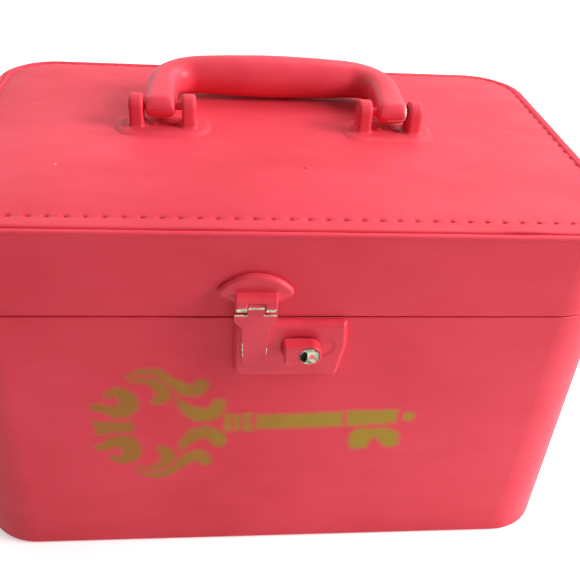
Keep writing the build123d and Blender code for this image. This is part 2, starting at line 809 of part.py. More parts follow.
def stop_lugs(x):
    """Tabs on the lid's knuckles that meet the case leaf when the lid is fully open."""
    reach = hinge_knuckle_radius + stop_length
    face = -hinge_knuckle_radius - rub_gap + seat_film + hinge_leaf_thickness + rub_gap
    tabs = []
    for (left, right) in knuckle_spans(1):
        open_tab = block(left, right, face, face + stop_thickness, -reach, -hinge_knuckle_radius * 0.8)
        tabs.append(Pos(x, hinge_axis_y, hinge_axis_z) * Rot(hinge_open_angle, 0, 0) * open_tab)
    return tabs


def make_lid_leaf(x):
    leaf = make_hinge_leaf(x, 1, 1)
    for tab in stop_lugs(x):
        leaf += tab
    return leaf


def make_case_leaf(x):
    return make_hinge_leaf(x, -1, 0)


def make_hinge_pin(x):
    return rod_x(hinge_pin_radius, hinge_width - knuckle_gap, x, hinge_axis_y, hinge_axis_z)


def make_hinge_rivets(direction, wall_inner):
    head = back + seat_film + hinge_leaf_thickness + seat_film
    rivets = []
    for (x, z) in hinge_rivet_spots(direction):
        rivet = rod_y(rivet_radius, head, back - wall_inner, x, z)
        rivets.append(rivet + rod_y(rivet_head_radius, head, head + rivet_head_height, x, z))
    return rivets


# ---- tray ----
tray_inset = lining_inner + tray_clearance
tray_foot = tray_seat + rub_gap
tray_top = tray_foot + tray_height
tray_floor = tray_foot + tray_wall
tray_inside_x = case_width / 2 - tray_inset - tray_wall
tray_inside_y = case_depth / 2 - tray_inset - tray_wall


def tray_slab(draw_in, bottom, top):
    (width, depth) = (2 * (tray_inside_x + tray_wall - draw_in), 2 * (tray_inside_y + tray_wall - draw_in))
    return Pos(0, 0, bottom) * extrude(RectangleRounded(width, depth, tray_corner - draw_in), top - bottom)


def make_tray_shell():
    shell = tray_slab(0, tray_foot, tray_top)
    shell -= tray_slab(tray_wall, tray_floor, tray_top + 1)
    return bevel(shell, -1, tray_edge_round)


def make_long_divider():
    """Divider along the tray, notched from above for the cross dividers."""
    half = divider_thickness / 2
    end = tray_inside_x - glue_film
    foot = tray_floor + seat_film
    return block(-end, end, long_divider_y - half, long_divider_y + half, foot, foot + divider_height)


def make_cross_dividers():
    half = divider_thickness / 2
    foot = tray_floor + seat_film
    near = -tray_inside_y + glue_film
    far = long_divider_y - divider_thickness / 2 - glue_film

    def divider(x):
        return block(x - half, x + half, near, far, foot, foot + divider_height)

    return pair(divider, cross_divider_x)


def make_tray_tabs():
    """Ribbon tabs on the tray's ends for lifting it out."""
    outer = tray_inside_x - seat_film
    half = tab_width / 2

    def tab(side):
        return block(side * (outer - tab_thickness), side * outer, -half, half, tray_top - tab_drop,
                     tray_top + tab_rise)

    return pair(tab, 1)


def as_node(made):
    """A single solid as it is, and like pieces of one node as a compound."""
    pieces = made if isinstance(made, list) else [made]
    solids = [solid for piece in pieces for solid in piece.solids()]
    return solids[0] if len(solids) == 1 else Compound(children=solids)


def build():
    half_brackets = bracket_spacing / 2
    half_hinges = hinge_spacing / 2
    return {
        "base_panel": make_base_panel(),
        "base_board": make_base_board(),
        "case_wall": make_case_wall(),
        "case_skin": make_case_skin(),
        "case_lining": make_case_lining(),
        "floor_pad": make_floor_pad(),
        "tray_rails": make_tray_rails(),
        "lock_plate": make_lock_plate(),
        "lock_rivets": make_front_rivets(
            lock_rivet_spots(), front - lock_proud / 2 + seat_film, front + case_inner),
        "slider_spring": make_slider_spring(),
        "case_hinge_leaves": pair(make_case_leaf, half_hinges),
        "case_hinge_rivets": make_hinge_rivets(-1, case_inner),
        "hinge_pins": pair(make_hinge_pin, half_hinges),
        "lid_wall": make_lid_wall(),
        "lid_board": make_lid_board(),
        "lid_skin": make_lid_skin(),
        "top_pad": make_top_pad(),
        "top_panel": make_top_panel(),
        "welt": make_welt(),
        "lid_lining": make_lid_lining(),
        "ceiling_lining": make_ceiling_lining(),
        "mirror": make_mirror(),
        "mirror_frame": make_mirror_frame(),
        "lid_hinge_leaves": pair(make_lid_leaf, half_hinges),
        "lid_hinge_rivets": make_hinge_rivets(1, lid_inner),
        "handle_brackets": pair(make_bracket, half_brackets, handle_x),
        "handle_pins": pair(make_handle_pin, half_brackets, handle_x),
        "bracket_rivets": make_handle_rivets(),
        "bracket_back_plates": pair(make_back_plate, half_brackets, handle_x),
        "hasp_plate": make_hasp_plate(),
        "hasp_plate_rivets": make_front_rivets(
            hasp_rivet_spots(), front - hasp_plate_thickness / 2 + seat_film, front + lid_inner),
        "hasp_pin": make_hasp_pin(),
        "handle_grip": make_handle_grip(),
        "handle_core": make_handle_core(),
        "hasp": make_hasp(),
        "hasp_staple": make_hasp_staple(),
        "slide_button": make_slide_button(),
        "slider_bolt": make_slider_bolt(),
        "lock_barrel": make_lock_barrel(),
        "key_plug": make_key_plug(),
        "tray_shell": make_tray_shell(),
        "tray_long_divider": make_long_divider(),
        "tray_cross_dividers": make_cross_dividers(),
        "tray_tabs": make_tray_tabs(),
    }


os.makedirs("parts", exist_ok=True)
for name, made in build().items():
    node = as_node(made)
    node.label = name
    export_step(node, f"parts/{name}.step")
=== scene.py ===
from math import atan2, cos, floor, pi, radians, sin, sqrt

import bmesh
import bpy
import numpy as np
from mathutils import Matrix, Vector, noise


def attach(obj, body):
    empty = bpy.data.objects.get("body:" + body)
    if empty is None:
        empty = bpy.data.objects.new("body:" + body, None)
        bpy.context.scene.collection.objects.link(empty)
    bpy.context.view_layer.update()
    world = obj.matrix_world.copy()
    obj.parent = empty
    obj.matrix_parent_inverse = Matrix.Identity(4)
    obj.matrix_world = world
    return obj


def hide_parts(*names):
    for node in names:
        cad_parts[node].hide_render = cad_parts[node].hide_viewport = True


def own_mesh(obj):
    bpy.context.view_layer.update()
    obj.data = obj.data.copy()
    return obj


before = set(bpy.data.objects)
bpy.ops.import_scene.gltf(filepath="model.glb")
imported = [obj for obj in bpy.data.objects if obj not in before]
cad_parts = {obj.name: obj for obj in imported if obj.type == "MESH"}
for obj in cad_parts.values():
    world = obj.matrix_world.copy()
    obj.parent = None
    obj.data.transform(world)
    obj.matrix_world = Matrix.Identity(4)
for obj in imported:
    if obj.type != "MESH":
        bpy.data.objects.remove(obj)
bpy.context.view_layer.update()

MM = 0.001
scene = bpy.context.scene

# ---- camera ----
# Where the photographer stood: in front, a little to the left, looking down on the lid. The place,
# the turns and the lens follow from how the case's edges run in the photo.
yaw, pitch, roll = radians(7.23), radians(34.564), radians(4.379)
eye_point = Vector((-33.69, -359.9, 341.89)) * MM
sensor_width, focal_length = 36.0, 47.77

sight = Vector((sin(yaw) * cos(pitch), cos(yaw) * cos(pitch), -sin(pitch)))
level_right = Vector((cos(yaw), -sin(yaw), 0))
level_up = level_right.cross(sight)
view_right = cos(roll) * level_right + sin(roll) * level_up
view_up = -sin(roll) * level_right + cos(roll) * level_up

lens = bpy.data.cameras.new("camera")
lens.sensor_width, lens.lens = sensor_width, focal_length
lens.clip_start, lens.clip_end = 0.01, 20
camera = bpy.data.objects.new("camera", lens)
scene.collection.objects.link(camera)
turned = Matrix((view_right, view_up, -sight)).transposed().to_4x4()
camera.matrix_world = Matrix.Translation(eye_point) @ turned
scene.camera = camera

# ---- studio ----
# White floor and a weak white surround. The main lamp, a window, stands high on the right and
# throws the ears' shadows to the left, and a large soft one above and behind lights the lid. Weak
# ones fill in from the left, low from the right, and up from the table in front.
scene.view_settings.view_transform = "Standard"


def feed(tree, socket, value):
    """Set a socket, or link it to the one that its value comes from."""
    if isinstance(value, bpy.types.NodeSocket):
        tree.links.new(value, socket)
    else:
        socket.default_value = value


def add_node(tree, kind, sockets=None, **settings):
    """Add a node of any kind, then fill or link its inputs."""
    made = tree.nodes.new(kind)
    for name, value in settings.items():
        setattr(made, name, value)
    for name, value in (sockets or {}).items():
        feed(tree, made.inputs[name], value)
    return made


def lay(tree, kind, sockets=None, **settings):
    """Add a shader node."""
    return add_node(tree, "ShaderNode" + kind, sockets, **settings)


def tint(red, green, blue):
    """A colour as a screen shows it (0 to 255), in the renderer's linear light."""
    levels = [v / 255 for v in (red, green, blue)]
    return (*[v / 12.92 if v <= 0.04045 else ((v + 0.055) / 1.055) ** 2.4 for v in levels], 1)


def seen_directly(tree):
    """1 for what the camera, a mirror or glass shows, 0 for light that falls on the object."""
    rays = lay(tree, "LightPath")
    mirrored = lay(tree, "Math", {0: rays.outputs["Is Camera Ray"], 1: rays.outputs["Is Glossy Ray"]},
                   operation="MAXIMUM")
    return lay(tree, "Math", {0: mirrored.outputs[0], 1: rays.outputs["Is Transmission Ray"]},
               operation="MAXIMUM").outputs[0]


surround_strength = 0.22
world = bpy.data.worlds.new("surround")
world.use_nodes = True
scene.world = world
air = world.node_tree
air.nodes.clear()
glow = lay(air, "Background", {"Color": (1, 0.985, 0.98, 1), "Strength": surround_strength})
paper = lay(air, "Background", {"Color": (1, 1, 1, 1), "Strength": 1.0})
both = lay(air, "MixShader", {0: seen_directly(air), 1: glow.outputs[0], 2: paper.outputs[0]})
lay(air, "OutputWorld", {"Surface": both.outputs[0]})


def lamp(name, place, aim, size, power, colour=(1, 1, 1)):
    """A soft rectangular lamp that gives light but isn't seen."""
    light = bpy.data.lights.new(name, "AREA")
    light.shape, light.size, light.size_y = "RECTANGLE", size[0], size[1]
    light.energy, light.color = power, colour
    holder = bpy.data.objects.new(name, light)
    scene.collection.objects.link(holder)
    holder.location = place
    holder.rotation_euler = (Vector(aim) - Vector(place)).to_track_quat("-Z", "Y").to_euler()
    holder.visible_camera = False


lamp("window", (0.95, -0.25, 0.7), (0, 0, 0.12), (0.5, 0.5), 15.5, (1, 0.99, 0.985))
lamp("low_right", (0.75, -0.75, 0.15), (0.05, -0.05, 0.06), (0.5, 0.5), 0.7)
lamp("soft_box", (0.55, 0.45, 0.95), (0, 0, 0.12), (0.8, 0.6), 6.4)
lamp("fill", (-0.5, 0.5, 0.8), (0, 0, 0.12), (0.8, 0.6), 2.2)
lamp("table_glow", (0.1, -0.32, 0.003), (0.1, -0.32, 1), (1.0, 0.4), 0.12)

floor_size = 6.0
floor_mesh = bpy.data.meshes.new("floor")
half = floor_size / 2
floor_mesh.from_pydata([(-half, -half, 0), (half, -half, 0), (half, half, 0), (-half, half, 0)], [],
                       [(0, 1, 2, 3)])
ground = bpy.data.objects.new("floor", floor_mesh)
scene.collection.objects.link(ground)
white_floor = bpy.data.materials.new("white_floor")
white_floor.use_nodes = True
tree = white_floor.node_tree
tree.nodes.clear()
matt = lay(tree, "BsdfDiffuse", {"Color": (0.93, 0.93, 0.93, 1)})
place = lay(tree, "TexCoord").outputs["Object"]
away = lay(tree, "VectorMath", {0: place}, operation="LENGTH").outputs["Value"]
# the lamps reach less of the floor farther out, so it gives more of its own white there
near_floor, far_floor, near_white, far_white = 0.3, 2.2, 0.42, 0.85
own_white = lay(tree, "MapRange", {"Value": away, "From Min": near_floor, "From Max": far_floor,
                                   "To Min": near_white, "To Max": far_white})
lit = lay(tree, "Emission", {"Color": (1, 1, 1, 1), "Strength": own_white.outputs[0]})
lit_mix = lay(tree, "AddShader", {0: matt.outputs[0], 1: lit.outputs[0]})
shown = lay(tree, "MixShader", {0: seen_directly(tree), 1: matt.outputs[0], 2: lit_mix.outputs[0]})
lay(tree, "OutputMaterial", {"Surface": shown.outputs[0]})
floor_mesh.materials.append(white_floor)

# ---- case: board and walls ----
# Thin birch plywood walls and boards, glued and nailed at the corners. Covered inside and out, they
# only show where the coverings end.


def surface(name):
    """An empty material with its shader, and the place of a point on the piece."""
    made = bpy.data.materials.new(name)
    made.use_nodes = True
    tree = made.node_tree
    tree.nodes.clear()
    shader = lay(tree, "BsdfPrincipled")
    lay(tree, "OutputMaterial", {"Surface": shader.outputs[0]})
    return made, tree, shader, lay(tree, "TexCoord").outputs["Object"]


def cloud(tree, place, size, detail=3.0, rough=0.55, stretch=(1, 1, 1)):
    """Soft noise whose blots are about size millimetres wide."""
    spread = lay(tree, "Mapping", {"Vector": place, "Scale": stretch}).outputs[0]
    return lay(tree, "TexNoise", {"Vector": spread, "Scale": 0.5 / (size * MM), "Detail": detail,
                                  "Roughness": rough}).outputs["Fac"]


def between(tree, share, low, high, start=0.3, end=0.7):
    """A number that goes from low to high as share goes from start to end."""
    return lay(tree, "MapRange", {"Value": share, "From Min": start, "From Max": end, "To Min": low,
                                  "To Max": high}).outputs[0]


def mixed(tree, share, first, second):
    """A colour between two, by a share from 0 to 1."""
    return lay(tree, "Mix", {0: share, 6: first, 7: second}, data_type="RGBA").outputs[2]


def relief(tree, height, depth, below=None):
    """Bump of a depth in millimetres, laid over what is below it."""
    sockets = {"Height": height, "Distance": depth * MM, "Strength": 1.0}
    if below is not None:
        sockets["Normal"] = below
    return lay(tree, "Bump", sockets).outputs[0]


def wire(tree, shader, **sockets):
    """Link or set the shader's inputs by short names."""
    names = {"colour": "Base Color", "roughness": "Roughness", "normal": "Normal", "metallic": "Metallic",
             "sheen": "Sheen Weight", "specular": "Specular IOR Level"}
    for name, value in sockets.items():
        feed(tree, shader.inputs[names[name]], value)


def dress(material, *nodes):
    """Give CAD nodes a material."""
    for name in nodes:
        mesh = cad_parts[name].data
        mesh.materials.clear()
        mesh.materials.append(material)


birch, tree, shader, place = surface("birch_plywood")
streaks = cloud(tree, place, 1.2, detail=5, stretch=(0.06, 0.06, 1))
wire(tree, shader, colour=mixed(tree, between(tree, streaks, 0, 1), tint(196, 158, 112), tint(222, 190, 146)),
     roughness=between(tree, streaks, 0.62, 0.5), normal=relief(tree, streaks, 0.08))
dress(birch, "case_wall", "base_board", "lid_wall", "lid_board")

# ---- case: leatherette wrap ----
# Embossed vinyl on cloth backing, glued round the box and painted coral by hand. The paint is
# satin, a little streaky, and fills most of the grain.
coral_deep, coral_bright = tint(217, 57, 72), tint(236, 72, 90)


def spots(tree, place, centres, radius):
    """1 inside small round marks about some points given in millimetres."""
    total = None
    for centre in centres:
        away = lay(tree, "VectorMath", {0: place, 1: [c * MM for c in centre]}, operation="DISTANCE")
        mark = lay(tree, "MapRange", {"Value": away.outputs["Value"], "From Min": radius * 0.6 * MM,
                                      "From Max": radius * MM, "To Min": 1.0, "To Max": 0.0}).outputs[0]
        if total is not None:
            mark = lay(tree, "Math", {0: total, 1: mark}, operation="MAXIMUM").outputs[0]
        total = mark
    return total


def painted_hide(name, light_marks=(), dark_marks=()):
    """Coral paint on embossed leatherette, darkened with painted shade where its shade attribute is set."""
    made, tree, shader, place = surface(name)
    broad = cloud(tree, place, 60, detail=2)
    brushed = cloud(tree, place, 7, detail=3, stretch=(0.5, 1, 1))
    grain = cloud(tree, place, 0.7, detail=2, rough=0.7)
    tone = lay(tree, "Math", {0: brushed, 1: 0.3, 2: broad}, operation="MULTIPLY_ADD").outputs[0]
    colour = mixed(tree, between(tree, tone, 0, 1, 0.45, 0.85), coral_deep, coral_bright)
    if light_marks:
        colour = mixed(tree, spots(tree, place, light_marks, 0.6), colour, tint(250, 190, 190))
    if dark_marks:
        colour = mixed(tree, spots(tree, place, dark_marks, 0.8), colour, tint(96, 18, 26))
    painted_shade = lay(tree, "Attribute", attribute_name="painted_shade").outputs["Fac"]
    colour = mixed(tree, between(tree, painted_shade, 0, 1, 0, 1), colour, tint(92, 12, 24))
    sag = relief(tree, broad, 0.5)
    strokes = relief(tree, brushed, 0.02, sag)
    wire(tree, shader, colour=colour, roughness=between(tree, brushed, 0.56, 0.48),
         normal=relief(tree, grain, 0.02, strokes), specular=0.2)
    return made


hide = painted_hide("painted_leatherette")
dress(hide, "case_skin", "base_panel", "lid_skin")

# ---- case: lining ----
# Woven cotton in its natural colour, glued over card on the walls and ceiling and over thin foam on
# the floor. Along the top of the wall it wraps the collar that the lid closes over.
wave_period = 0.314  # of the wave texture at scale 1, in metres


def cloth(name, dark, light, pitch=0.6):
    """Plain weave: crossed sets of threads, on whichever way the face looks."""
    made, tree, shader, place = surface(name)
    threads = {"Vector": place, "Scale": wave_period / (pitch * MM) / 2, "Distortion": 0.6, "Detail": 1.0}
    ply = [lay(tree, "TexWave", threads, wave_type="BANDS", bands_direction=axis).outputs["Fac"]
           for axis in ("X", "Y", "Z")]
    weave = lay(tree, "Math", {0: ply[0], 1: ply[1]}, operation="ADD").outputs[0]
    weave = lay(tree, "Math", {0: weave, 1: ply[2]}, operation="ADD").outputs[0]
    blots = cloud(tree, place, 14)
    tone = lay(tree, "Math", {0: weave, 1: 0.3, 2: blots}, operation="MULTIPLY_ADD").outputs[0]
    wire(tree, shader, colour=mixed(tree, between(tree, tone, 0, 1, 0.35, 1.5), dark, light),
         roughness=between(tree, blots, 0.92, 0.8), normal=relief(tree, weave, 0.05), sheen=0.25)
    return made


linen = cloth("lining_cloth", tint(196, 180, 152), tint(226, 212, 186))
dress(linen, "case_lining", "floor_pad", "tray_rails", "lid_lining", "ceiling_lining")

# ---- tray ----
# Card tray covered in the same kind of cloth, with a long divider and two cross dividers slotted
# into each other. A red ribbon pull is glued in at each end.
tray_cloth = cloth("tray_cloth", tint(188, 170, 142), tint(220, 204, 176))
dress(tray_cloth, "tray_shell", "tray_long_divider", "tray_cross_dividers")
ribbon = cloth("pull_ribbon", tint(140, 20, 32), tint(176, 34, 48), 0.45)
dress(ribbon, "tray_tabs")

# ---- lid: mirror ----
# Silvered glass held to the ceiling of the lid by a moulded rim. The yellowish foam that pads the
# top panel lies on the lid's board above it.
glass, tree, shader, place = surface("mirror_glass")
haze = cloud(tree, place, 30)
wire(tree, shader, colour=tint(232, 236, 238), metallic=1.0, roughness=between(tree, haze, 0.03, 0.06))
dress(glass, "mirror")
rim, tree, shader, place = surface("mirror_rim")
dust = cloud(tree, place, 3)
wire(tree, shader, colour=mixed(tree, dust, tint(206, 190, 160), tint(224, 210, 184)),
     roughness=between(tree, dust, 0.4, 0.3), normal=relief(tree, dust, 0.02))
dress(rim, "mirror_frame")
foam, tree, shader, place = surface("foam")
cells = cloud(tree, place, 0.8)
wire(tree, shader, colour=mixed(tree, cells, tint(214, 196, 130), tint(232, 218, 160)), roughness=0.95,
     normal=relief(tree, cells, 0.2))
dress(foam, "top_pad")

# ---- lid: top panel ----
# One piece of leatherette over thin foam, sewn round its edge. The margin outside the seam curls
# down to the piping, and the thread draws a dimple at each stitch.
case_width, case_depth, corner_radius, least_corner = 300.0, 197.0, 29.0, 8.0
lid_top = 186.0
seam_inset, end_seam_inset, back_seam_inset = 12.3, 5.0, 4.4
stitch_pitch, front_hole_x = 7.55, -106.3
panel_edge_inset = 2.9


def drawn_in(inset, seam_at):
    """The inset at an edge whose seam lies at seam_at, from the inset at the front."""
    if inset <= panel_edge_inset:
        return inset
    if inset >= seam_inset:
        return inset - seam_inset + seam_at
    margin = seam_inset - panel_edge_inset
    return panel_edge_inset + (inset - panel_edge_inset) * (seam_at - panel_edge_inset) / margin


def ring(inset, side_steps=64, end_steps=40, corner_steps=16):
    """Points round the plan of the box, drawn in by inset, with the distance run so far."""
    at_end, at_back = drawn_in(inset, end_seam_inset), drawn_in(inset, back_seam_inset)
    points = []
    for (i, j, start, steps) in ((1, 1, 0, side_steps), (-1, 1, 90, end_steps), (-1, -1, 180, side_steps),
                                 (1, -1, 270, end_steps)):
        edge = at_back if j > 0 else inset
        corner = max(corner_radius - (at_end + edge) / 2, least_corner)
        centre = Vector((i * (case_width / 2 - at_end - corner), j * (case_depth / 2 - edge - corner)))
        if points:
            before, after = points[-1], centre + corner * Vector((cos(radians(start)), sin(radians(start))))
            points += [before.lerp(after, k / last_steps) for k in range(1, last_steps)]
        last_steps = steps
        for k in range(corner_steps + 1):
            turn = radians(start + 90 * k / corner_steps)
            points.append(centre + corner * Vector((cos(turn), sin(turn))))
    before, after = points[-1], points[0]
    points += [before.lerp(after, k / last_steps) for k in range(1, last_steps)]
    runs = [0.0]
    for (a, b) in zip(points, points[1:]):
        runs.append(runs[-1] + (b - a).length)
    return points, runs


def loop_mesh(name, rings, closed, caps):
    """Join rings of points into a skin: closed round the section, or capped at both ends."""
    count = len(rings[0])
    corners = [Vector(p) * MM for r in rings for p in r]
    faces = []
    last = len(rings) if closed else len(rings) - 1
    for r in range(last):
        low, high = r * count, (r + 1) % len(rings) * count
        for k in range(count):
            n = (k + 1) % count
            faces.append((low + k, low + n, high + n, high + k))
    if caps:
        faces.append(tuple(range(count))[::-1])
        faces.append(tuple((len(rings) - 1) * count + k for k in range(count)))
    mesh = bpy.data.meshes.new(name)
    mesh.from_pydata(corners, [], faces)
    shape = bmesh.new()
    shape.from_mesh(mesh)
    bmesh.ops.recalc_face_normals(shape, faces=shape.faces)
    shape.to_mesh(mesh)
    shape.free()
    mesh.shade_smooth()
    piece = bpy.data.objects.new(name, mesh)
    scene.collection.objects.link(piece)
    return piece


# the section of the panel from its edge inward: (inset at the front, height over the lid's top)
panel_section = [(2.9, 0.1), (2.9, 0.6), (2.93, 1.0), (3.1, 1.3), (3.5, 1.54), (4.2, 1.68), (5.2, 1.72),
                 (6.6, 1.66), (8.2, 1.53), (9.8, 1.38), (10.6, 1.3), (11.1, 1.24), (11.5, 1.19),
                 (11.8, 1.15), (12.1, 1.12), (12.3, 1.11), (12.5, 1.12), (12.8, 1.15), (13.1, 1.19),
                 (13.6, 1.25), (14.5, 1.38), (16.0, 1.64), (18.0, 1.97), (20.5, 2.3), (24.0, 2.62),
                 (30.0, 2.98), (37.0, 3.22), (45.0, 3.34), (60.0, 3.35), (76.0, 3.35)]
panel_thickness, board_clearance = 1.0, 0.06
hole_length, hole_width, hole_depth = 1.9, 1.3, 0.85
drawn_depth, drawn_width = 0.2, 3.4
thread_press, thread_middle, thread_width = 0.12, 0.45, 0.8
dent_reach, shade_reach = 3.5, 1.5
fine_steps = {"side_steps": 540, "end_steps": 340, "corner_steps": 64}
seam_ring, seam_run = ring(seam_inset, **fine_steps)
seam_length = seam_run[-1] + (seam_ring[0] - seam_ring[-1]).length
stitch_count = round(seam_length / stitch_pitch)
front_run = min((abs(p.x - front_hole_x), run) for (p, run) in zip(seam_ring, seam_run) if p.y < -80)[1]
seam_phase = [(run - front_run) / seam_length * stitch_count for run in seam_run]
lifted_x, lifted_reach, lifted_by = 97.0, 19.0, 0.6
lifted_inset, lifted_depth, front_part = 2, 5, -60


def fall(distance, reach):
    """1 at the middle of a dent, easing to 0 at its reach."""
    return 0.5 + 0.5 * cos(pi * min(1, abs(distance) / reach))


def pucker(phase, across):
    """How far the thread pulls the panel down beside the seam, by the share of a stitch run."""
    from_hole = ((phase + 0.5) % 1 - 0.5) * stitch_pitch
    hole = hole_depth * fall(from_hole, hole_length) * fall(across, hole_width)
    drawn = drawn_depth * fall(from_hole, stitch_pitch / 2) * fall(across, drawn_width)
    under_thread = thread_press * fall(phase % 1 - thread_middle, 0.5) * fall(across, thread_width)
    return hole + drawn + under_thread


hole_share = 0.15  # of a stitch run, from a hole's left edge to its middle
least_shade, usual_shade, shade_change = 0.25, 0.62, 1.3
shade_left, shade_right, shade_half_width = 1.0, 1.1, 0.95
trail_strength, trail_length, trail_half_width, trail_shift = 0.7, 5.2, 0.75, 0.25


def hole_shade(phase, across):
    """Painted shade in a needle hole, trailing off along the stitch that leaves it; some holes get less."""
    from_hole = ((phase + hole_share) % 1 - hole_share) * stitch_pitch
    change = noise.noise(Vector((floor(phase + hole_share) * 0.73, 5.0, 2.0)))
    amount = min(1, max(least_shade, usual_shade + shade_change * change))
    if from_hole < 0:
        return amount * fall(from_hole, shade_left) * fall(across, shade_half_width)
    trail = trail_strength * max(0, 1 - from_hole / trail_length)
    trail *= fall(across + trail_shift, trail_half_width)
    return amount * max(fall(from_hole, shade_right) * fall(across, shade_half_width), trail)


wave_fineness, wave_height, wave_free = 0.02, 0.12, 20
curl_fineness, curl_height, curl_middle = 0.04, 0.26, 4


def panel_ring(inset, height, side=1):
    """The panel's points at one inset, with its unevenness; with side 0 they stay level."""
    points, _ = ring(inset, **fine_steps)
    level = []
    for (point, phase) in zip(points, seam_phase):
        wave = noise.noise(Vector((point.x * wave_fineness, point.y * wave_fineness, 3.0)))
        wave *= wave_height * min(1, inset / wave_free)
        curl = noise.noise(Vector((point.x * curl_fineness, point.y * curl_fineness, 9.0)))
        curl *= curl_height * fall(inset - curl_middle, curl_middle)
        if point.y < front_part:
            near_spot = fall(point.x - lifted_x, lifted_reach) * fall(inset - lifted_inset, lifted_depth)
            curl += lifted_by * near_spot
        dent = pucker(phase, inset - seam_inset) if abs(inset - seam_inset) < dent_reach else 0
        level.append((point.x, point.y, lid_top + height + (wave + curl - dent) * side))
    return level


top_rings = [panel_ring(inset, height) for (inset, height) in panel_section]
under_rings = [panel_ring(inset, max(height - panel_thickness, board_clearance), 0)
               for (inset, height) in reversed(panel_section)
               if inset > seam_inset + 1 or inset == panel_edge_inset]
panel = loop_mesh("sewn_top", [*under_rings, *top_rings], False, True)
top_hide = painted_hide("painted_top", light_marks=[(-101.3, -44.3, 189.3)], dark_marks=[(9.0, -43.0, 189.3)])
panel.data.materials.append(top_hide)
# painted shade darkens each needle hole and the trail of thread beside it, by differing amounts
shade_layer = panel.data.attributes.new("painted_shade", "FLOAT", "POINT")
shade_values = [0.0] * len(under_rings) * len(seam_phase)
for (inset, height) in panel_section:
    near = abs(inset - seam_inset) < shade_reach
    shade_values += [hole_shade(phase, inset - seam_inset) if near else 0.0 for phase in seam_phase]
shade_layer.data.foreach_set("value", shade_values)
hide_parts("top_panel")
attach(panel, "lid")

# ---- lid: piping ----
# A thin cord covered in leatherette, caught under the top panel. It swells a little over the
# band's upper edge, and the paint has bridged the joint below it.
bead_half_width, bead_half_height, bead_inset, bead_height, bead_steps = 1.75, 1.05, 1.3, 0.05, 18
long_fineness, long_lump = 0.09, 0.14
short_fineness, short_lump = 0.45, 0.09
bead_rings = []
for k in range(bead_steps):
    turn = 2 * pi * k / bead_steps
    points, _ = ring(bead_inset - bead_half_width * cos(turn), side_steps=400, end_steps=240, corner_steps=40)
    level = []
    for point in points:
        lump = noise.noise(Vector((point.x * long_fineness, point.y * long_fineness, 1.0))) * long_lump
        lump += noise.noise(Vector((point.x * short_fineness, point.y * short_fineness, 4.0))) * short_lump
        level.append((point.x, point.y, lid_top + bead_height + (bead_half_height + lump) * sin(turn)))
    bead_rings.append(level)
piping = loop_mesh("piping", bead_rings, True, False)
piping.data.materials.append(hide)
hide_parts("welt")
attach(piping, "lid")

# ---- lid: seam thread ----
# Long lockstitches in thick thread, painted over with the leather. Each dips into its own needle
# hole and lies a little askew of the row.


def pattern(name, inputs):
    """A node tree with a Geometry input and named size inputs."""
    tree = bpy.data.node_groups.new(name, "GeometryNodeTree")
    tree.interface.new_socket("Geometry", in_out="INPUT", socket_type="NodeSocketGeometry")
    for (label, kind) in inputs:
        tree.interface.new_socket(label, in_out="INPUT", socket_type=kind)
    tree.interface.new_socket("Geometry", in_out="OUTPUT", socket_type="NodeSocketGeometry")
    return tree, add_node(tree, "NodeGroupInput"), add_node(tree, "NodeGroupOutput")


def grown(name, guide, tree, values):
    """Run a pattern on a guide, and keep the result as a plain mesh."""
    maker = guide.modifiers.new(tree.name, "NODES")
    maker.node_group = tree
    for item in tree.interface.items_tree:
        if item.item_type == "SOCKET" and item.in_out == "INPUT" and item.name in values:
            maker[item.identifier] = values[item.name]
    mesh = bpy.data.meshes.new_from_object(guide.evaluated_get(bpy.context.evaluated_depsgraph_get()))
    mesh.name = name
    bpy.data.objects.remove(guide)
    piece = bpy.data.objects.new(name, mesh)
    scene.collection.objects.link(piece)
    return piece


def guide_line(name, points):
    """A closed line of points in metres, for a pattern to follow."""
    mesh = bpy.data.meshes.new(name)
    count = len(points)
    mesh.from_pydata(points, [(k, (k + 1) % count) for k in range(count)], [])
    line = bpy.data.objects.new(name, mesh)
    scene.collection.objects.link(line)
    return line


least_size, greatest_size, askew_turn = (0.85,) * 3, (1.15,) * 3, (0.0, 0.13, 0.0)
thread, nodes_in, nodes_out = pattern("seam_thread", [
    ("Count", "NodeSocketInt"), ("Length", "NodeSocketFloat"), ("Thickness", "NodeSocketFloat"),
    ("Seed", "NodeSocketInt"), ("Material", "NodeSocketMaterial")])
given = nodes_in.outputs
line = add_node(thread, "GeometryNodeMeshToCurve", {"Mesh": given["Geometry"]})
marks = add_node(thread, "GeometryNodeCurveToPoints", {"Curve": line.outputs[0], "Count": given["Count"]})
strand = add_node(thread, "GeometryNodeMeshUVSphere", {"Segments": 8, "Rings": 6, "Radius": 0.5})
size_of = lay(thread, "CombineXYZ", {"X": given["Thickness"], "Y": given["Thickness"],
                                     "Z": given["Length"]})
spread = add_node(thread, "FunctionNodeRandomValue", {"Seed": given["Seed"], 0: least_size, 1: greatest_size},
                  data_type="FLOAT_VECTOR")
sizes = lay(thread, "VectorMath", {0: size_of.outputs[0], 1: spread.outputs[0]}, operation="MULTIPLY")
askew = add_node(thread, "FunctionNodeRotateRotation", {"Rotation": marks.outputs["Rotation"],
                                                       "Rotate By": askew_turn}, rotation_space="LOCAL")
strands = add_node(thread, "GeometryNodeInstanceOnPoints", {
    "Points": marks.outputs["Points"], "Instance": strand.outputs[0], "Rotation": askew.outputs[0],
    "Scale": sizes.outputs[0]})
solid = add_node(thread, "GeometryNodeRealizeInstances", {"Geometry": strands.outputs[0]})
smooth = add_node(thread, "GeometryNodeSetShadeSmooth", {"Geometry": solid.outputs[0]})
dyed = add_node(thread, "GeometryNodeSetMaterial", {"Geometry": smooth.outputs[0],
                                                    "Material": given["Material"]})
thread.links.new(dyed.outputs[0], nodes_out.inputs[0])

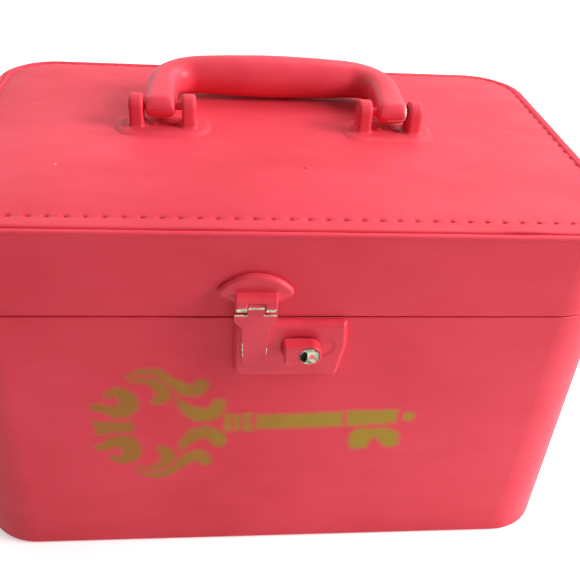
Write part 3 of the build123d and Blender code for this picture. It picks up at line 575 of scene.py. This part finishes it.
stitch_length, stitch_thickness, stitch_height, stitch_seed = 5.2, 0.85, 0.72, 7
seam_points, seam_runs = ring(seam_inset)
# the first stitch lies between two needle holes, a little nearer the second
first_stitch = 0.55
start_run = front_run + first_stitch * stitch_pitch
start = next(k for k, run in enumerate(seam_runs) if run >= start_run)
seam_line = [Vector((p.x, p.y, lid_top + stitch_height)) * MM
             for p in [*seam_points[start:], *seam_points[:start]]]
stitches = grown("seam_stitches", guide_line("seam", seam_line), thread,
                 {"Count": stitch_count + 1, "Length": stitch_length * MM,
                  "Thickness": stitch_thickness * MM, "Seed": stitch_seed, "Material": hide})
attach(stitches, "lid")

# ---- lid: handle brackets ----
# Cast plates with two thick ears each, riveted through the lid, then painted so thickly that
# every edge and corner has run round.


def weld(shape_data):
    """Join the loose triangles of a CAD mesh's copy into a skin."""
    shape = bmesh.new()
    shape.from_mesh(shape_data)
    bmesh.ops.remove_doubles(shape, verts=shape.verts, dist=0.001 * MM)
    shape.to_mesh(shape_data)
    shape.free()


def mark_wear(mesh, worn):
    """Say where paint has come off: (point, point, radius) of each worn stretch."""
    wear = mesh.attributes.new("wear", "FLOAT", "POINT")
    values = [0.0] * len(mesh.vertices)
    for (a, b, radius) in worn:
        a, b = Vector(a), Vector(b)
        along = b - a
        for k, vertex in enumerate(mesh.vertices):
            spot = vertex.co / MM - a
            t = min(1, max(0, spot.dot(along) / max(along.length_squared, 1e-6)))
            values[k] = max(values[k], 1 - (spot - along * t).length / radius)
    wear.data.foreach_set("value", values)


def rounded_over(name, node, body, material, voxel, passes, worn=(), reshape=None):
    """A pressed or cast piece as it looks under paint: its CAD solid with softened edges, and
    with what reshape does to a point in millimetres."""
    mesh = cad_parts[node].data.copy()
    mesh.name = name
    weld(mesh)
    piece = bpy.data.objects.new(name, mesh)
    scene.collection.objects.link(piece)
    skin = piece.modifiers.new("skin", "REMESH")
    skin.mode, skin.voxel_size = "VOXEL", voxel * MM
    ease = piece.modifiers.new("ease", "SMOOTH")
    ease.factor, ease.iterations = 0.5, passes
    final = bpy.data.meshes.new_from_object(piece.evaluated_get(bpy.context.evaluated_depsgraph_get()))
    final.name = name
    if reshape:
        for vertex in final.vertices:
            vertex.co = reshape(vertex.co / MM) * MM
    piece.modifiers.clear()
    piece.data = final
    final.shade_smooth()
    final.materials.clear()
    final.materials.append(material)
    mark_wear(final, worn)
    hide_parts(node)
    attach(piece, body)
    return piece


def painted_metal(name, bare_light=tint(208, 212, 190), bare_dark=tint(120, 118, 84), shine=0.8,
                  gloss=(0.40, 0.30), specular=0.25):
    """Thick coral paint, chipped to what is below it where the wear attribute says so."""
    made, tree, shader, place = surface(name)
    broad = cloud(tree, place, 16, detail=2)
    sags = cloud(tree, place, 3, detail=2)
    flakes = cloud(tree, place, 0.9, detail=4, rough=0.7)
    worn = lay(tree, "Attribute", attribute_name="wear").outputs["Fac"]
    lifted = lay(tree, "Math", {0: worn, 1: between(tree, flakes, -0.45, 0.35)}, operation="ADD").outputs[0]
    bare = between(tree, lifted, 0, 1, 0.36, 0.44)
    stain = mixed(tree, between(tree, flakes, 0, 1, 0.42, 0.6), bare_light, bare_dark)
    paint = mixed(tree, between(tree, broad, 0, 1), coral_deep, coral_bright)
    pit = lay(tree, "Math", {0: bare, 1: 0.6}, operation="MULTIPLY").outputs[0]
    height = lay(tree, "Math", {0: sags, 1: pit}, operation="SUBTRACT").outputs[0]
    metal = lay(tree, "Math", {0: bare, 1: shine}, operation="MULTIPLY").outputs[0]
    wire(tree, shader, colour=mixed(tree, bare, paint, stain), metallic=metal,
         roughness=between(tree, sags, *gloss), normal=relief(tree, height, 0.12), specular=specular)
    return made


enamel = painted_metal("painted_metal")
handle_x, handle_y, bracket_pitch = -0.8, 1.7, 112.0
base_foot, base_thickness, base_corner = 189.4, 1.0, 8.0
base_half = Vector((21.5, 11.5))
paint_bank, bank_sink, ear_face, filled_share = 3.2, 0.12, 16.0, 0.7


def banked(point):
    """Spread the rim of a base plate, where the paint has banked up against it."""
    rise = (point.z - base_foot) / base_thickness
    middle = Vector((handle_x + (bracket_pitch if point.x > handle_x else -bracket_pitch) / 2, handle_y))
    spot = point.xy - middle
    core = Vector([min(max(s, base_corner - h), h - base_corner) for (s, h) in zip(spot, base_half)])
    outward = spot - core
    if rise > 1 or outward.length < base_corner - 1.0:
        return point
    spread = paint_bank * (1 - max(rise, 0)) ** 1.4
    return point + (outward.normalized() * spread).to_3d() - Vector((0, 0, bank_sink * spread))


def pressed_flat(point):
    """Pull a pin's end in, where the paint has filled the ear up to its head."""
    side = 1 if point.x > handle_x else -1
    middle = handle_x + side * bracket_pitch / 2
    past = abs(point.x - middle) - ear_face
    outward = 1 if point.x > middle else -1
    return point if past <= 0 else point - Vector((outward * past * filled_share, 0, 0))


bracket_paint = painted_metal("bracket_paint", gloss=(0.54, 0.46), specular=0.2)
chips = [((-78.0, -8.6, 190.9), (-76.8, -9.4, 190.7), 1.3), ((-70.3, -9.9, 191.0), (-70.0, -9.9, 190.8), 0.8),
         ((-53.0, -9.9, 191.1), (-52.6, -9.9, 190.8), 0.8), ((-44.0, -9.9, 191.1), (-43.6, -9.9, 190.8), 0.8),
         ((52.0, -9.9, 191.1), (52.4, -9.9, 190.8), 0.8)]
rounded_over("painted_brackets", "handle_brackets", "lid", bracket_paint, 0.4, 26, chips,
             banked)
steel, tree, shader, place = surface("rivet_steel")
rub = cloud(tree, place, 1.5, detail=4)
wire(tree, shader, colour=mixed(tree, rub, tint(150, 148, 142), tint(188, 186, 178)), metallic=0.9,
     roughness=between(tree, rub, 0.45, 0.3), normal=relief(tree, rub, 0.03))
rounded_over("painted_pins", "handle_pins", "lid", bracket_paint, 0.3, 5, (), pressed_flat)
dress(enamel, "bracket_rivets")
dress(steel, "bracket_back_plates", "handle_core")

# ---- handle: grip ----
# Moulded plastic over a bent steel bar, painted with the rest. It is thick and round in the hand
# and ends in two squared legs that turn on the bracket pins.
pin_height_over_lid, eye_outset, rub_gap = 10.2, 1.2, 0.3
seat_film, panel_foot, shoulder_rise, crown_rise = 0.05, 1.2, 1.1, 1.0
plateau = lid_top + seat_film + panel_foot + shoulder_rise + crown_rise
pin_z = plateau + pin_height_over_lid
handle_reach, grip_radius, grip_end_radius, shoulder_bend = 42.4, 11.0, 9.7, 18.0
leg_nose, leg_half_width, leg_half_height = 5.4, 7.1, 5.3
root_half_width, root_half_height, nose_drawn_in = 7.9, 7.0, 0.8
# squareness of the section: 2 is an ellipse, more is squarer
leg_square, root_square, ellipse = 4.0, 2.4, 2.0
handle_lay = atan2(grip_radius + rub_gap - pin_height_over_lid, handle_reach)
eye_x = bracket_pitch / 2 + eye_outset
pin_run = leg_nose / (handle_reach - shoulder_bend + leg_nose)
lump_fineness, lump_height = 0.05, 0.15


def grip_station(run):
    """Centre, heading and section (half width, half height, squareness) of the grip, from the
    left nose (0) past the pin (pin_run), the shoulder (1 to 2) and on to the middle (3)."""
    bend_x, bend_y = -eye_x + shoulder_bend, handle_reach - shoulder_bend
    if run <= 1:
        y = -leg_nose + run * (bend_y + leg_nose)
        past_pin = max(0, 1 - run / pin_run)
        nose_fall = sqrt(1 - past_pin ** 2)
        wide = leg_half_width + (root_half_width - leg_half_width) * run - nose_drawn_in * past_pin ** 4
        high = (leg_half_height + (root_half_height - leg_half_height) * run) * nose_fall
        return (-eye_x, y), 90, (wide, high, leg_square + (root_square - leg_square) * run)
    if run <= 2:
        turn = radians(180 - 90 * (run - 1))
        ease = run - 1
        centre = (bend_x + shoulder_bend * cos(turn), bend_y + shoulder_bend * sin(turn))
        wide = root_half_width + (grip_end_radius - root_half_width) * ease
        high = root_half_height + (grip_end_radius - root_half_height) * ease
        return centre, 90 - 90 * ease, (wide, high, root_square + (ellipse - root_square) * ease)
    ease = run - 2
    full = grip_end_radius + (grip_radius - grip_end_radius) * sin(ease * pi / 2)
    return (bend_x * (1 - ease), handle_reach), 0, (full, full, ellipse)


def grip_ring(run, steps=48):
    """The points round one section of the grip, where it lies at rest."""
    (cx, cy), heading, (wide, high, power) = grip_station(run)
    across = Vector((-sin(radians(heading)), cos(radians(heading)), 0))
    level = []
    for k in range(steps):
        turn = 2 * pi * (k + 0.5) / steps
        c, n = cos(turn), sin(turn)
        u = wide * abs(c) ** (2 / power) * (1 if c >= 0 else -1)
        v = high * abs(n) ** (2 / power) * (1 if n >= 0 else -1)
        point = Vector((cx, cy, 0)) + across * u + Vector((0, 0, v))
        lump = noise.noise(point * lump_fineness) * lump_height
        turned = Vector((point.x, point.y * cos(handle_lay) - point.z * sin(handle_lay),
                         point.y * sin(handle_lay) + point.z * cos(handle_lay) + lump))
        level.append(turned + Vector((handle_x, handle_y, pin_z)))
    return level


nose_runs = [pin_run * (1 - cos(radians(a))) for a in range(2, 90, 8)]
leg_runs = [pin_run + (1 - pin_run) * k / 12 for k in range(12)]
grip_runs = [*nose_runs, *leg_runs, *[1 + k / 18 for k in range(18)], *[2 + k / 16 for k in range(17)]]
half_grip = [grip_ring(run) for run in grip_runs]
other_half = [[Vector((2 * handle_x - p.x, p.y, p.z)) for p in level] for level in half_grip[-2::-1]]
grip = loop_mesh("moulded_grip", [*half_grip, *other_half], False, True)
grip_paint = painted_metal("painted_grip", tint(244, 206, 196), tint(214, 128, 112), 0.0, (0.46, 0.38))
grip.data.materials.append(grip_paint)
# worn edge of the right leg, from the pin's middle: down its nose, then along its foot
worn_edge = [(6.3, 0.4, 4.3), (6.3, -2.84, 3.6), (6.3, -4.32, 2.5), (6.3, -5.15, 1.2), (6.3, -5.15, -1.2),
             (6.1, -4.6, -2.3), (4.5, -4.5, -2.8), (-1.5, -4.4, -3.0)]
worn_width = 1.25
worn_spots = [Vector((handle_x + eye_x + u, handle_y + v, pin_z + w)) for (u, v, w) in worn_edge]
mark_wear(grip.data, [(*ends, worn_width) for ends in zip(worn_spots, worn_spots[1:])])
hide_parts("handle_grip")
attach(grip, "handle")

# ---- hasp ----
# Pressed plate with its lower edge rolled into a barrel, and the hasp that hangs from it. The
# paint has rubbed off the roll, the shoulders of the hasp and the sides of its tongue.
hasp_x = -14.6
roll_bare = [((hasp_x - 7.4, -107.4, 156.1), (hasp_x - 4.6, -107.4, 156.1), 2.7),
             ((hasp_x + 4.6, -107.4, 155.9), (hasp_x + 7.8, -107.4, 155.9), 2.2)]
rounded_over("painted_hasp_plate", "hasp_plate", "lid", enamel, 0.22, 14, roll_bare)
knuckle_bare = [((hasp_x - 3.0, -106.8, 156.0), (hasp_x + 3.0, -106.8, 156.2), 2.3),
                ((hasp_x - 9.0, -104.6, 151.8), (hasp_x - 3.8, -104.6, 151.8), 1.2),
                ((hasp_x + 3.8, -104.6, 151.8), (hasp_x + 9.0, -104.6, 151.8), 1.0),
                ((hasp_x - 5.4, -104.6, 136.5), (hasp_x - 5.2, -104.6, 130.0), 0.7),
                ((hasp_x + 5.4, -104.6, 134.0), (hasp_x + 5.3, -104.6, 130.5), 0.7)]
rounded_over("painted_hasp", "hasp", "hasp", enamel, 0.2, 2, knuckle_bare)
dress(steel, "hasp_staple", "hasp_pin", "hasp_plate_rivets")

# ---- lock ----
# Pressed steel pan with sloping sides, riveted to the case, and a slide button with a small key
# barrel of worn nickel. Paint has run over its middle; painted shade darkens round the keyhole.
rounded_over("painted_lock_plate", "lock_plate", "case", enamel, 0.28, 20)
rounded_over("painted_slide_button", "slide_button", "slider", enamel, 0.2, 12)
nickel, tree, shader, place = surface("worn_nickel")
stains = cloud(tree, place, 1.6, detail=4, rough=0.7)
plug_face = -109.9
blot = spots(tree, place, [(9.6, plug_face, 133.4)], 1.5)
# painted shade on the nickel round the keyhole, beside its opening
keyhole_shade = spots(tree, place, [(6.3, plug_face, 135.2), (5.5, plug_face, 133.9), (5.7, plug_face, 132.6),
                                   (6.4, plug_face, 131.7)], 1.5)
base = mixed(tree, between(tree, stains, 0, 1, 0.42, 0.62), tint(190, 200, 176), tint(92, 90, 56))
base = mixed(tree, keyhole_shade, base, tint(18, 10, 12))
wire(tree, shader, colour=mixed(tree, blot, base, tint(214, 92, 100)), metallic=0.85,
     roughness=between(tree, stains, 0.3, 0.5), normal=relief(tree, stains, 0.08))
dress(nickel, "lock_barrel", "key_plug")
dress(steel, "lock_rivets", "slider_bolt")
# the button presses the spring against the right wall of the pan as it slides
spring = bpy.data.objects.new("steel_spring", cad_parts["slider_spring"].data.copy())
scene.collection.objects.link(spring)
spring.data.materials.clear()
spring.data.materials.append(steel)
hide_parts("slider_spring")
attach(spring, "case")
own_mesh(spring)

# ---- back hinges ----
# Two pressed steel butt hinges with rolled knuckles, riveted through the walls of lid and case and
# painted over with the rest. The pins are bare.
dress(enamel, "case_hinge_leaves", "lid_hinge_leaves", "case_hinge_rivets", "lid_hinge_rivets")
dress(steel, "hinge_pins")

# ---- front: painted key ----
# A plain scrolled skeleton key, with a bow of plumes, scrolls and leaves, three rings, a shank and
# a notched bit. It is stencilled a little aslant in thin old-gold paint, which has crept under the
# stencil, so that every edge fades into the coral.
front_face = -case_depth / 2
key_middle, key_tilt = Vector((-12.0, 84.75)), radians(1.92)
paint_film, film_foot, cell = 0.045, 0.01, 0.55
creep, edge_fineness, edge_waver, least_cover = 2.1, 0.22, 0.6, 0.01


def along_spline(values, t):
    """A smooth run through some values, evenly spaced, at t from 0 to 1."""
    at = t * (len(values) - 1)
    k = min(int(at), len(values) - 2)
    f = at - k
    p = [values[max(k - 1, 0)], values[k], values[k + 1], values[min(k + 2, len(values) - 1)]]
    return 0.5 * (2 * p[1] + (p[2] - p[0]) * f + (2 * p[0] - 5 * p[1] + 4 * p[2] - p[3]) * f ** 2
                  + (3 * p[1] - p[0] - 3 * p[2] + p[3]) * f ** 3)


def depth_in_stroke(samples, path, widths, steps=70):
    """How deep each spot lies in a brush stroke, given by points and half widths along it."""
    spine = [Vector(p) for p in path]
    length = sum((b - a).length for (a, b) in zip(spine, spine[1:]))
    first, last = widths[0] / length, 1 - widths[-1] / length
    depth = np.full(len(samples), -9.0)
    for k in range(steps + 1):
        t = first + (last - first) * k / steps
        middle = np.array(along_spline(spine, t))
        depth = np.maximum(depth, along_spline(widths, t) - np.hypot(*(samples - middle).T))
    return depth


def depth_in_outline(samples, outline):
    """How deep each spot lies inside a closed outline; negative outside."""
    away, inside = np.full(len(samples), 99.0), np.zeros(len(samples), bool)
    for (a, b) in zip(outline, [*outline[1:], outline[0]]):
        a, b = np.array(a, float), np.array(b, float)
        side = b - a
        t = np.clip((samples - a) @ side / (side @ side), 0, 1)
        away = np.minimum(away, np.hypot(*(samples - a - t[:, None] * side).T))
        if a[1] != b[1]:
            between_ends = (a[1] > samples[:, 1]) != (b[1] > samples[:, 1])
            inside ^= between_ends & (samples[:, 0] < a[0] + (samples[:, 1] - a[1]) * side[0] / side[1])
    return np.where(inside, away, -away)


# the upper half of the bow, which is repeated below the key's axis: points, half widths, and how
# far the lower copy is shifted
outer_plume = [(-57.5, 30.3), (-50.5, 33), (-43.5, 32), (-37.3, 26.3), (-31.5, 21.8), (-26.5, 21.6),
               (-23.2, 26.4)]
inner_plume = [(-56, 27.3), (-51.3, 28.2), (-46, 27), (-42.3, 23), (-42.0, 18), (-46.0, 14.4)]
scroll = [(-67.6, 19.2), (-63.6, 21.5), (-59.6, 20.2), (-57.7, 15.4), (-59.9, 10.6), (-64.6, 9.5),
          (-69, 12), (-74.5, 12.8)]
leaf = [(-36, 17), (-32.8, 11.5), (-28.3, 7), (-22.8, 5.6), (-18.4, 8.6), (-15.9, 14.6)]
bow = [(outer_plume, [0.6, 1.6, 2.2, 2.7, 3.7, 3.7, 2.8], 0.2),
       (inner_plume, [0.6, 1.2, 2.2, 3.3, 3.4, 1.5], -0.4),
       (scroll, [1.4, 2.4, 3.5, 4.7, 4.6, 3.4, 2.5, 2.0], -1.0),
       (leaf, [0.6, 2.6, 4.0, 4.2, 3.8, 2.9], -0.4)]
left_bar = [(-74.2, 4.4), (-67.3, 3.4), (-57.0, 2.9), (-57.0, -3.3), (-67.3, -3.9), (-74.2, -4.8)]
rings = [[(-15.0, 6.0), (-11.2, 5.8), (-11.4, 0.4), (-11.2, -5.0), (-15.0, -5.2), (-14.7, 0.4)],
         [(-10.2, 5.0), (-6.9, 5.0), (-6.9, -5.0), (-10.2, -5.0)],
         [(-6.0, 5.6), (-1.8, 5.6), (-2.1, 0), (-1.8, -5.4), (-6.0, -5.4), (-5.7, 0)]]
shank = [(0.1, 4.7), (20.5, 4.5), (41.4, 4.6), (41.4, -4.8), (20.5, -4.8), (0.1, -4.6)]
end_bar = [(43.0, 5.1), (67.6, 4.7), (67.0, -4.0), (43.0, -5.1)]
bit = [(46.0, -19.5), (45.1, -14.7), (45.8, -9.9), (48.1, -7.4), (52.1, -7.0), (59.0, -7.2),
       (64.9, -7.7), (68.0, -9.2), (69.8, -12.9), (70.2, -18.9), (66.5, -20.1), (62.9, -19.3),
       (60.9, -16.6), (59.1, -14.3), (57.4, -13.5), (56.2, -14.5), (55.2, -17.6), (53.8, -20.5),
       (50.3, -20.8), (47.5, -20.7)]
tip_dot = ([(71.6, 0), (73.4, -0.1), (75.6, 0)], [1.8, 2.7, 1.8])
# a grid of spots over the whole key, and how deep each lies inside its outlines
across, up = np.arange(-80, 82, cell), np.arange(-38, 39, cell)
samples = np.stack(np.meshgrid(across, up, indexing="ij"), -1).reshape(-1, 2)
depth = depth_in_stroke(samples, *tip_dot)
for (path, widths, mirrored_shift) in bow:
    mirrored = [(u + mirrored_shift, -v) for (u, v) in path]
    for copy in (path, mirrored):
        depth = np.maximum(depth, depth_in_stroke(samples, copy, widths))
for outline in (left_bar, *rings, shank, end_bar, bit):
    depth = np.maximum(depth, depth_in_outline(samples, outline))
uneven = np.array([noise.noise(Vector((u * edge_fineness, v * edge_fineness, 6.0))) for (u, v) in samples])
ease = np.clip((depth + uneven * edge_waver + creep) / (2 * creep), 0, 1)
cover = ease * ease * (3 - 2 * ease)
rows, columns = len(across) - 1, len(up) - 1
grid = cover.reshape(rows + 1, columns + 1)
kept = np.maximum.reduce([grid[:-1, :-1], grid[1:, :-1], grid[:-1, 1:], grid[1:, 1:]]) > least_cover
kept[[0, -1]] = kept[:, [0, -1]] = False
for _ in range(3):
    # no two kept cells may touch only at a corner
    falling = kept[:-1, :-1] & kept[1:, 1:] & ~kept[1:, :-1] & ~kept[:-1, 1:]
    rising = kept[1:, :-1] & kept[:-1, 1:] & ~kept[:-1, :-1] & ~kept[1:, 1:]
    kept[1:, :-1] |= falling
    kept[:-1, :-1] |= rising
corner_of = {}
key_corners, key_cover, key_faces = [], [], []


def key_corner(i, j, film):
    """Number of the corner at a grid spot, this far in front of the case; made when first asked for."""
    if (i, j, film) not in corner_of:
        corner_of[i, j, film] = len(key_corners)
        u, v = across[i], up[j]
        key_corners.append(Vector((key_middle.x + u * cos(key_tilt) - v * sin(key_tilt), front_face - film,
                                   key_middle.y + u * sin(key_tilt) + v * cos(key_tilt))) * MM)
        key_cover.append(grid[i, j])
    return corner_of[i, j, film]


for (i, j) in zip(*np.nonzero(kept)):
    i, j = int(i), int(j)
    loop = [(i, j), (i + 1, j), (i + 1, j + 1), (i, j + 1)]
    key_faces.append([key_corner(*c, paint_film) for c in loop])
    key_faces.append([key_corner(*c, film_foot) for c in reversed(loop)])
    beyond = [(i, j - 1), (i + 1, j), (i, j + 1), (i - 1, j)]
    for (a, b, next_cell) in zip(loop, [*loop[1:], loop[0]], beyond):
        if not kept[next_cell]:
            key_faces.append([key_corner(*b, paint_film), key_corner(*a, paint_film),
                              key_corner(*a, film_foot), key_corner(*b, film_foot)])
key_data = bpy.data.meshes.new("stencilled_key")
key_data.from_pydata(key_corners, [], key_faces)
key_data.attributes.new("gold", "FLOAT", "POINT").data.foreach_set("value", key_cover)
key_print = bpy.data.objects.new("stencilled_key", key_data)
scene.collection.objects.link(key_print)
gold = painted_hide("old_gold_paint")
tree = gold.node_tree
shader = tree.nodes["Principled BSDF"]
below = shader.inputs["Base Color"].links[0].from_socket
place = lay(tree, "TexCoord").outputs["Object"]
blots = cloud(tree, place, 7, detail=3)
speckle = cloud(tree, place, 1.2, detail=3)
along = lay(tree, "SeparateXYZ", {0: place}).outputs["X"]
toward_bit = lay(tree, "Math", {0: along, 1: 7.0, 2: blots}, operation="MULTIPLY_ADD").outputs[0]
body_tone = mixed(tree, between(tree, toward_bit, 0, 1, 0.1, 0.65), tint(166, 112, 40), tint(166, 140, 38))
body_tone = mixed(tree, between(tree, speckle, 0, 0.3, 0.45, 0.75), body_tone, tint(200, 104, 66))
gold_share = lay(tree, "Attribute", attribute_name="gold").outputs["Fac"]
wire(tree, shader, colour=mixed(tree, gold_share, below, body_tone))
key_data.materials.append(gold)
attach(key_print, "case")
